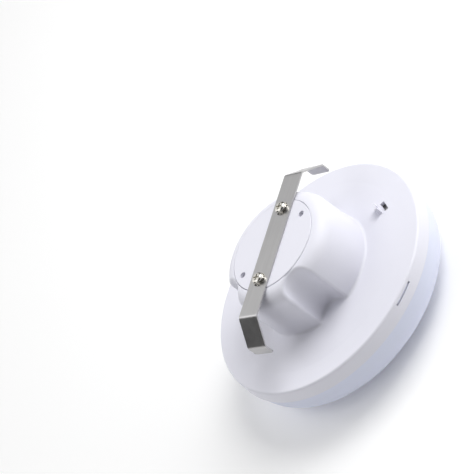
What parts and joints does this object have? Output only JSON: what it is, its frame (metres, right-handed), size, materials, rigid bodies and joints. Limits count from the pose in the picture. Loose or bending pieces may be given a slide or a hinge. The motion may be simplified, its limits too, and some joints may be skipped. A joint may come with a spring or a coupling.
{
  "type": "led ceiling light",
  "caption": "Round opal-lens ceiling light with a driver neck, flush wiring cover and a sprung steel strap that holds it in a ceiling cut-out.",
  "frame": {"origin": "middle of the lens's front, on the lamp's axis", "axes": "+Z along the lamp's axis from the lens into the ceiling; the strap lies along X"},
  "size_m": [0.17, 0.17, 0.0829],
  "materials": {
    "white_shell": "satin moulded",
    "opal_lens": "satin, finely textured",
    "strap_steel": "fine brushed",
    "nickel_screw": "bright nickel",
    "brass": "knurled",
    "board_metal": "white solder mask on aluminium",
    "chip_yellow": "phosphor gel",
    "black_plastic": "matt moulded",
    "board_green": "solder mask",
    "ferrite": "sintered",
    "tape_yellow": "polyester tape",
    "can_sleeve": "shrunk sleeve",
    "film_box": "moulded box",
    "ivory_nylon": "moulded nylon",
    "fuse_sleeve": "dipped",
    "terminal_green": "moulded",
    "grommet_rubber": "soft rubber",
    "lead_red": "silicone wire",
    "lead_black": "silicone wire"
  },
  "bodies": {
    "housing_body": {"housing": "white_shell", "lens": "opal_lens", "led_board": "board_metal", "led_chips": "chip_yellow", "board_screws": "nickel_screw", "driver_tray": "black_plastic", "driver_board": "board_green", "driver_screws": "nickel_screw", "transformer_core": "ferrite", "transformer_winding": "tape_yellow", "bulk_capacitor": "can_sleeve", "output_capacitor": "can_sleeve", "film_capacitor": "film_box", "bridge_rectifier": "black_plastic", "filter_inductor": "ferrite", "controller_chip": "black_plastic", "output_connector": "ivory_nylon", "fuse_resistor": "fuse_sleeve", "terminal_block": "terminal_green", "terminal_screws": "nickel_screw", "cable_grommet": "grommet_rubber", "lead_red": "lead_red", "lead_black": "lead_black"},
    "cover_body": {"wiring_cover": "white_shell", "strap_centre": "strap_steel", "strap_screws": "nickel_screw", "tooth_washers": "nickel_screw", "strap_inserts": "brass", "cover_screws": "nickel_screw"},
    "arm_a": {"strap_arm_a": "strap_steel"},
    "arm_b": {"strap_arm_b": "strap_steel"}
  },
  "joints": [
    {"name": "cover_lift", "type": "slide", "parent": "housing_body", "child": "cover_body", "axis": [0, 0, 1], "range_m": [0, 0.03]},
    {"name": "arm_a_flex", "type": "hinge", "parent": "cover_body", "child": "arm_a", "pos_m": [0.0346, 0, 0.0797], "axis": [0, -1, 0], "range_deg": [-3, 18], "stiffness_Nm_per_rad": 0.5},
    {"name": "arm_b_flex", "type": "hinge", "parent": "cover_body", "child": "arm_b", "pos_m": [-0.0346, 0, 0.0797], "axis": [0, 1, 0], "range_deg": [-3, 18], "stiffness_Nm_per_rad": 0.5}
  ]
}
